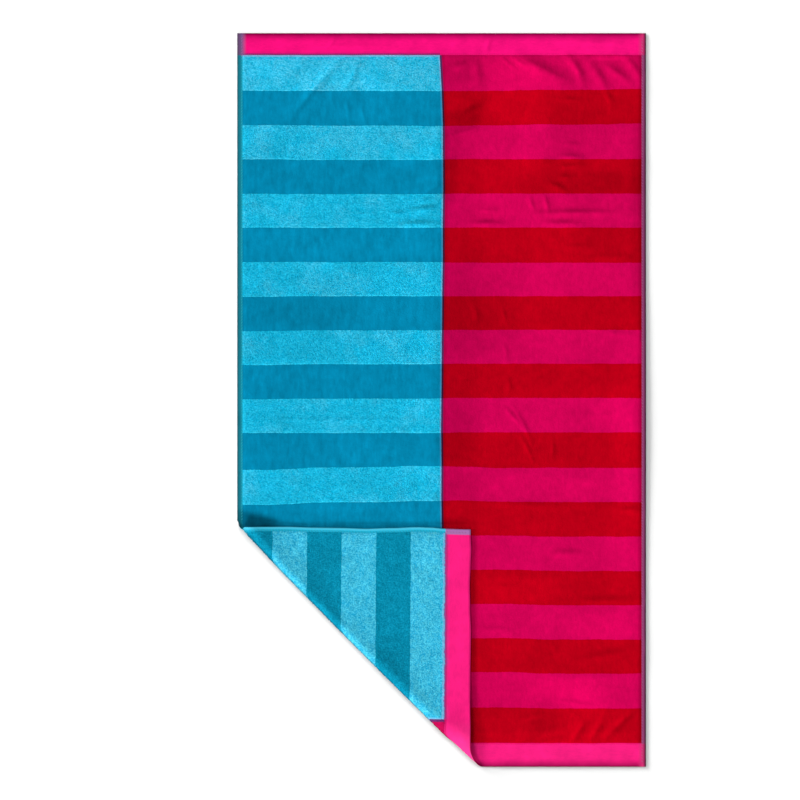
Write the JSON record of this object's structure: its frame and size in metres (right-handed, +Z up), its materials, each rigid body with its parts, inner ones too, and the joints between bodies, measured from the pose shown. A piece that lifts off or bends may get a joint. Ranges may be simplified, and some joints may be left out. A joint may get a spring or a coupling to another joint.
{
  "type": "beach towel",
  "caption": "Large striped terry beach towel lying flat with its lower left corner folded over onto its face.",
  "frame": {"origin": "on the surface the towel lies on, under the middle of its outline", "axes": "+Z up, +Y along the towel's length towards its unfolded end hem, +X to the right of its face"},
  "size_m": [1, 1.8, 0.0198],
  "materials": {
    "terry_cloth": "matt cotton terry and velour in two-tone stripes, blues on the left half and pinks on the right",
    "sewing_thread": "matt spun thread"
  },
  "bodies": {
    "root": {"towel": "terry_cloth"}
  },
  "joints": []
}
